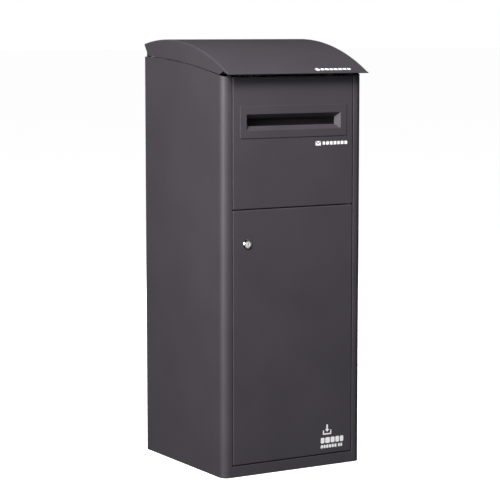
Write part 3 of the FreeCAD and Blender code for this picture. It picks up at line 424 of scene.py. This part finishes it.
def parcel_sign(mesh, x, y, size):
    """A parcel seen from a corner: three lozenges with gaps between them."""
    gap = 0.07 * size
    high = size / 2 * math.sqrt(3) / 2
    for turn in range(3):
        before = set(mesh.verts)
        flat_shape(
            mesh, (0, gap), (high, size / 4 + gap), (0, size / 2 + gap), (-high, size / 4 + gap)
        )
        fresh = [v for v in mesh.verts if v not in before]
        place = Matrix.Translation((x, y, 0)) @ Matrix.Rotation(math.radians(120 * turn), 4, "Z")
        bmesh.ops.transform(mesh, matrix=place, verts=fresh)


def envelope_sign(mesh, left, low, wide, tall):
    """An envelope: a flap above a body, with a gap between them."""
    gap = 0.11 * tall
    middle = left + wide / 2
    fold = low + 0.42 * tall
    high = low + tall
    flat_shape(mesh, (middle, fold + gap), (left + wide - gap, high), (left + gap, high))
    flat_shape(mesh, (left, low), (middle, low), (middle, fold - gap), (left, high - gap))
    flat_shape(
        mesh, (middle, low), (left + wide, low), (left + wide, high - gap), (middle, fold - gap)
    )


def tray_sign(mesh, left, low, size):
    """An arrow that points down into a tray."""
    wall = 0.13 * size
    middle = left + size / 2
    rim = low + 0.45 * size
    tip = low + 0.26 * size
    head = low + 0.54 * size
    half_head = 0.24 * size
    half_stem = 0.09 * size
    right = left + size
    flat_shape(mesh, (left, low), (right, low), (right, low + wall), (left, low + wall))
    for side in (left, right - wall):
        edge = side + wall
        flat_shape(mesh, (side, low + wall), (edge, low + wall), (edge, rim), (side, rim))
    flat_shape(mesh, (middle, tip), (middle + half_head, head), (middle - half_head, head))
    flat_shape(
        mesh,
        (middle - half_stem, head),
        (middle + half_stem, head),
        (middle + half_stem, low + size),
        (middle - half_stem, low + size),
    )


def block_row(mesh, left, low, tall, widths, gap):
    """A row of plain blocks, one for each width."""
    x = left
    for wide in widths:
        rounded_bar(mesh, x, low, x + wide, low + tall, 0.22 * tall)
        x += wide + gap


def outward(normal, look):
    """The surface's normal, turned to face against the way that a mark is moved onto it."""
    return -normal if normal.dot(look) > 0 else normal


def printed(name, mesh, corner, up, look, node, body):
    """Lays a flat mark on a surface, following its curve, and gives it its thin layer of ink."""
    bmesh.ops.remove_doubles(mesh, verts=mesh.verts, dist=0.001)
    heights = [v.co.y for v in mesh.verts]
    for line in range(1, int((max(heights) - min(heights)) / STRIP) + 1):
        bmesh.ops.bisect_plane(
            mesh,
            geom=mesh.verts[:] + mesh.edges[:] + mesh.faces[:],
            dist=0.0001,
            plane_co=(0, min(heights) + line * STRIP, 0),
            plane_no=(0, 1, 0),
        )
    bmesh.ops.triangulate(mesh, faces=mesh.faces)
    for face in list(mesh.faces):
        if face.normal.z < 0:
            face.normal_flip()
    surface = skin_of(node)
    for v in mesh.verts:
        start = corner + RIGHTWARD * (v.co.x * MM) + up * (v.co.y * MM) - look * MOVED_FROM
        hit, normal, _, _ = surface.ray_cast(start, look)
        v.co = hit - outward(normal, look) * INK_SUNK
    raised = bmesh.ops.extrude_face_region(mesh, geom=mesh.faces[:])
    for v in raised["geom"]:
        if isinstance(v, bmesh.types.BMVert):
            _, normal, _, _ = surface.find_nearest(v.co)
            v.co += outward(normal, look) * (INK_THICKNESS + INK_SUNK)
    bmesh.ops.recalc_face_normals(mesh, faces=mesh.faces)
    piece(name, mesh, INK, body)


# The lid slopes, so from above its mark is this much shorter than along the sheet.
LID_MARK_LEVEL = 0.886


def lid_mark():
    """Parcel sign and blocks near the lid's front edge."""
    low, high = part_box("lid_shell")
    from_middle = 51 * MM
    from_edge = 8 * MM
    mark = bmesh.new()
    parcel_sign(mark, 6.5, 6.5, 12)
    block_row(mark, 16, 2.5, 8, (9, 10, 9, 9, 10, 9, 9), 3)
    corner = Vector((from_middle, low.y + from_edge, high.z + HUNG_AT))
    printed("lid_mark", mark, corner, BACKWARD * LID_MARK_LEVEL, -UPWARD, "lid_shell", "lid")


def slot_mark():
    """Envelope sign and blocks below the letter slot."""
    low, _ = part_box("letter_plate")
    from_middle = 60 * MM
    below_plate = 22 * MM
    mark = bmesh.new()
    envelope_sign(mark, 0, 0, 15, 10.5)
    block_row(mark, 20, 1.2, 8, (7, 8, 8, 8, 7, 8, 8), 2.6)
    corner = Vector((from_middle, low.y - HUNG_AT, low.z - below_plate))
    printed("slot_mark", mark, corner, UPWARD, BACKWARD, "upper_front_panel", "cabinet")


def door_mark():
    """Tray sign above two rows of blocks, at the door's lower right."""
    low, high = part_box("door_skin")
    from_right = 87 * MM
    from_bottom = 14 * MM
    mark = bmesh.new()
    block_row(mark, 0, 0, 8, (6, 6, 6, 6, 6, 6), 1.8)
    block_row(mark, 49.5, 0, 8, (5, 5), 1.8)
    block_row(mark, 0, 12, 14, (10.5, 13, 11.5, 10.5, 10), 2.3)
    tray_sign(mark, 6, 33, 24)
    corner = Vector((high.x - from_right, low.y - HUNG_AT, low.z + from_bottom))
    printed("door_mark", mark, corner, UPWARD, BACKWARD, "door_skin", "door")


lid_mark()
slot_mark()
door_mark()


# ---------------------------------------------------------------- cam lock
ROUND_STEPS = 64
CORNER_ANGLE = math.radians(35)

# Radii, heights and the thread are in millimetres.
BORE = 6.6
BARREL = 9.45
BEZEL_FACE = 9.4
BEZEL_HEIGHT = 3.4
THREAD_PITCH = 0.75
THREAD_DEPTH = 0.45


def spun_about_y(outline):
    """Spins an outline of (radius, depth) in millimetres round the Y axis."""
    mesh = bmesh.new()
    points = [mesh.verts.new((radius * MM, depth * MM, 0)) for radius, depth in outline]
    edges = [mesh.edges.new(pair) for pair in zip(points, points[1:] + points[:1])]
    bmesh.ops.spin(
        mesh,
        geom=points + edges,
        cent=(0, 0, 0),
        axis=(0, 1, 0),
        angle=math.tau,
        steps=ROUND_STEPS,
        use_merge=True,
    )
    bmesh.ops.remove_doubles(mesh, verts=mesh.verts, dist=0.001 * MM)
    bmesh.ops.recalc_face_normals(mesh, faces=mesh.faces)
    return mesh


def shade_smooth(mesh):
    """Shades a mesh smooth, but keeps its corners."""
    for face in mesh.faces:
        face.smooth = True
    for edge in mesh.edges:
        if len(edge.link_faces) == 2 and edge.calc_face_angle() > CORNER_ANGLE:
            edge.smooth = False


def lock_bezel():
    """Tapered chrome bezel with a rolled lip, a dished face and a threaded barrel behind it."""
    low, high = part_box("lock_housing")
    outer = (high.x - low.x) / 2 / MM
    length = (high.y - low.y) / MM
    outline = [
        (BORE, 0.75),
        (BORE + 0.3, 0.35),
        (BORE + 0.8, 0.25),
        (BEZEL_FACE - 1.1, 0.25),
        (BEZEL_FACE - 0.8, 0.05),
        (BEZEL_FACE - 0.45, 0.0),
        (BEZEL_FACE - 0.12, 0.12),
        (BEZEL_FACE + 0.1, 0.42),
        (outer - 0.35, BEZEL_HEIGHT - 0.55),
        (outer - 0.02, BEZEL_HEIGHT - 0.25),
        (outer - 0.02, BEZEL_HEIGHT - 0.02),
        (BARREL, BEZEL_HEIGHT + 0.02),
        (BARREL, BEZEL_HEIGHT + 3.6),
    ]
    turn = BEZEL_HEIGHT + 3.8
    while turn < length - 1.2:
        outline += [(BARREL, turn), (BARREL - THREAD_DEPTH, turn + 0.3), (BARREL, turn + 0.6)]
        turn += THREAD_PITCH
    outline += [(BARREL, length - 0.7), (BARREL - 0.7, length), (BORE, length)]
    mesh = spun_about_y(outline)
    middle = Vector(((low.x + high.x) / 2, low.y, (low.z + high.z) / 2))
    bmesh.ops.translate(mesh, verts=mesh.verts, vec=middle)
    shade_smooth(mesh)
    item = piece("lock_bezel", mesh, SLOT_FINISHES["lock_chrome"], "door")
    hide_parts("lock_housing")


lock_bezel()


# ---------------------------------------------------------------- lights and floor
# Distances are in metres. AMBIENT is how strongly the white surroundings light the box.
AMBIENT = 0.004
SOFTBOX_DISTANCE = 3.2
FLOOR_HALF = 80
FLOOR_BELOW = 0.5 * MM
FLOOR_GLOW = 0.98

# Each card: name, azimuth and elevation in degrees, watts, and side in metres.
LOCK_CARDS = (
    ("card_face", 34, -4, 7.0, 1.3),
    ("card_left", -92, -14, 6.0, 1.8),
    ("card_right", 100, 4, 6.0, 1.8),
    ("card_above", 90, 62, 5.0, 1.6),
)


def softbox(name, azimuth, elevation, power, size=1.4, shine=True):
    """A square soft light aimed at the box, given in degrees, watts and metres.

    Without shine, glossy faces don't mirror it.
    """
    lamp = bpy.data.lights.new(name, "AREA")
    lamp.size = size
    lamp.energy = power
    item = bpy.data.objects.new(name, lamp)
    item.visible_glossy = shine
    aim(item, MIDDLE + towards(azimuth, elevation) * SOFTBOX_DISTANCE, MIDDLE)
    return item


def lock_cards():
    """White cards round the lock that only its bright plating picks up."""
    plating = bpy.data.collections.new("bright_plating")
    plating.objects.link(bpy.data.objects["lock_bezel"])
    plating.objects.link(frame["nodes"]["lock_plug"])
    for card in LOCK_CARDS:
        softbox(*card).light_linking.receiver_collection = plating


def surroundings():
    """White all round to look at, but only a little light from it."""
    sky = bpy.data.worlds.new("surroundings")
    sky.use_nodes = True
    bpy.context.scene.world = sky
    nodes = Nodes(sky.node_tree)
    seen = nodes.node("ShaderNodeLightPath", output="Is Camera Ray")
    backdrop = sky.node_tree.nodes["Background"]
    nodes.feed(backdrop.inputs["Color"], (1.0, 1.0, 1.0))
    nodes.feed(backdrop.inputs["Strength"], seen * (1 - AMBIENT) + AMBIENT)


def floor():
    """Plain pale floor."""
    mesh = bmesh.new()
    bmesh.ops.create_grid(mesh, x_segments=1, y_segments=1, size=FLOOR_HALF)
    bmesh.ops.translate(mesh, verts=mesh.verts, vec=(0, 0, -FLOOR_BELOW))
    data = bpy.data.meshes.new("floor")
    mesh.to_mesh(data)
    mesh.free()
    white = (1.0, 1.0, 1.0)
    pale = Finish("pale_floor", Roughness=0.9, Emission_Color=white, Emission_Strength=FLOOR_GLOW)
    pale.give("Base Color", pale.blend(pale.noise(0.4), (0.6, 0.6, 0.6), (0.64, 0.64, 0.64)))
    data.materials.append(pale.material)
    item = bpy.data.objects.new("floor", data)
    bpy.context.scene.collection.objects.link(item)
    item.visible_diffuse = False
    item.visible_glossy = False


surroundings()
floor()
softbox("key", -48.5, 38, 125, size=0.75, shine=False)
softbox("top_light", -30, 55, 52, size=0.75, shine=False)
softbox("side_fill", -60, 18, 54, size=1.6)
softbox("low_fill", -75, 4, 24, size=1.6)
softbox("front_fill", -30, 18, 12, size=1.6)
lock_cards()
softbox("back_left", 178, 22, 90, shine=False)
softbox("back_right", 128, 18, 60, shine=False)
softbox("right_fill", 97, 22, 55, shine=False)
bpy.context.scene.view_settings.view_transform = "Standard"
